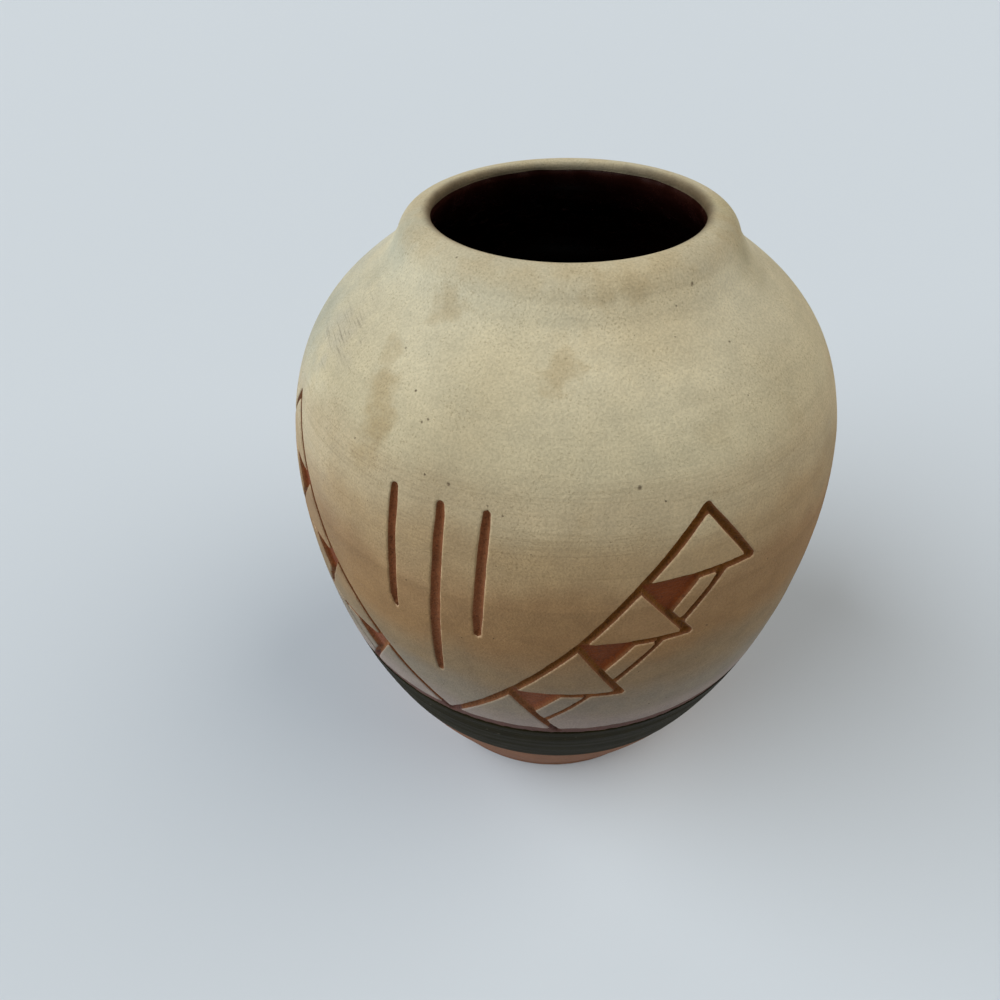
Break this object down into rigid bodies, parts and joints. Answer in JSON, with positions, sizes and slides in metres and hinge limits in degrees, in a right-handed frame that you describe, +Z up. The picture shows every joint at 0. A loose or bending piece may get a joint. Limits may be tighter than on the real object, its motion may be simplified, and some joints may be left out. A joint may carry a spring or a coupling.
{
  "type": "pottery vase",
  "caption": "Round-bodied clay vase with a short rolled collar, a dark band above its foot, and stepped V ornament carved through a cream slip coat.",
  "frame": {"origin": "middle of the foot's flat underside, on the pot's axis", "axes": "+Z up along the pot's axis, -Y towards the middle of the first carved V, +X to its right"},
  "size_m": [0.1302, 0.1302, 0.1522],
  "materials": {
    "red_clay": "bare fired red earthenware, matte",
    "cream_slip": "matte cream slip with fine dark specks, shaded tan and grey towards the band",
    "black_slip": "satin black slip",
    "dark_glaze": "glossy near-black red-brown glaze"
  },
  "bodies": {
    "root": {"clay_body": "red_clay", "black_band": "black_slip", "cream_dip": "cream_slip", "glaze_lining": "dark_glaze", "v1_left_triangle_1": "cream_slip", "v1_left_triangle_2": "cream_slip", "v1_left_bar_1": "cream_slip", "v1_left_triangle_3": "cream_slip", "v1_left_bar_2": "cream_slip", "v1_left_triangle_4": "cream_slip", "v1_left_bar_3": "cream_slip", "v1_right_triangle_1": "cream_slip", "v1_right_triangle_2": "cream_slip", "v1_right_bar_1": "cream_slip", "v1_right_triangle_3": "cream_slip", "v1_right_bar_2": "cream_slip", "v1_right_triangle_4": "cream_slip", "v1_right_bar_3": "cream_slip", "v2_left_triangle_1": "cream_slip", "v2_left_triangle_2": "cream_slip", "v2_left_bar_1": "cream_slip", "v2_left_triangle_3": "cream_slip", "v2_left_bar_2": "cream_slip", "v2_left_triangle_4": "cream_slip", "v2_left_bar_3": "cream_slip", "v2_right_triangle_1": "cream_slip", "v2_right_triangle_2": "cream_slip", "v2_right_bar_1": "cream_slip", "v2_right_triangle_3": "cream_slip", "v2_right_bar_2": "cream_slip", "v2_right_triangle_4": "cream_slip", "v2_right_bar_3": "cream_slip"}
  },
  "joints": []
}
